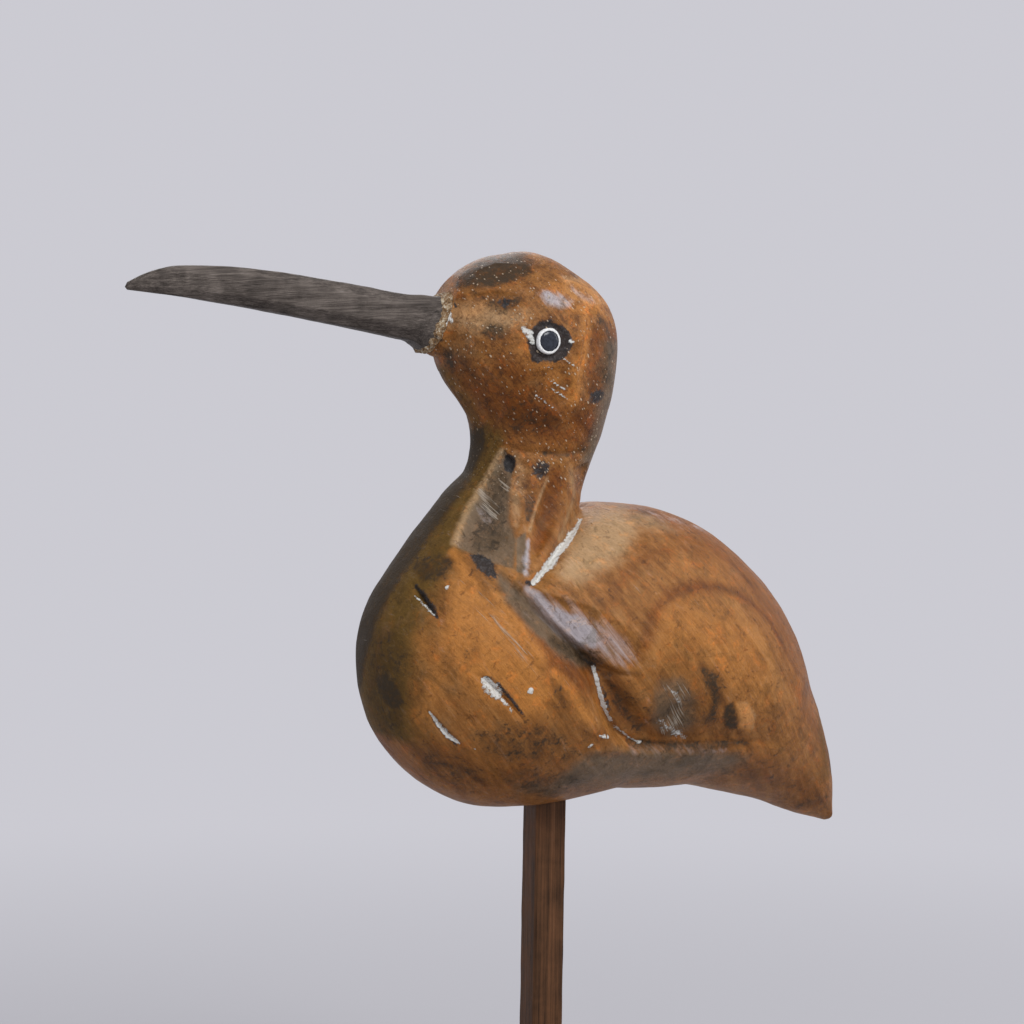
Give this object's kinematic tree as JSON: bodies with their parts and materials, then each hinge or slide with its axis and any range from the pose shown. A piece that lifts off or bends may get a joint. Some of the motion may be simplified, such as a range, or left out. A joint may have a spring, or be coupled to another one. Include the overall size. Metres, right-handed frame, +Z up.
{
  "type": "wooden bird figurine",
  "caption": "Carved wooden wader with a long dark bill, on a square stick set in a plain oblong block.",
  "frame": {"origin": "under the stick, on the block's underside, which rests on the floor", "axes": "+Z up, the bill points along -X, the bird's left side faces -Y"},
  "size_m": [0.2296, 0.084, 0.3004],
  "materials": {
    "carved_wood": "oiled and waxed, stained brown, satin",
    "bill_wood": "stained dark grey-brown, whittled, satin",
    "eye_bead": "glossy black dome with a painted white ring",
    "stand_wood": "stained dark brown, worn"
  },
  "bodies": {
    "root": {"carved_bird": "carved_wood", "bill": "bill_wood", "eye_left": "eye_bead", "eye_right": "eye_bead", "stick": "stand_wood", "block": "stand_wood"}
  },
  "joints": []
}
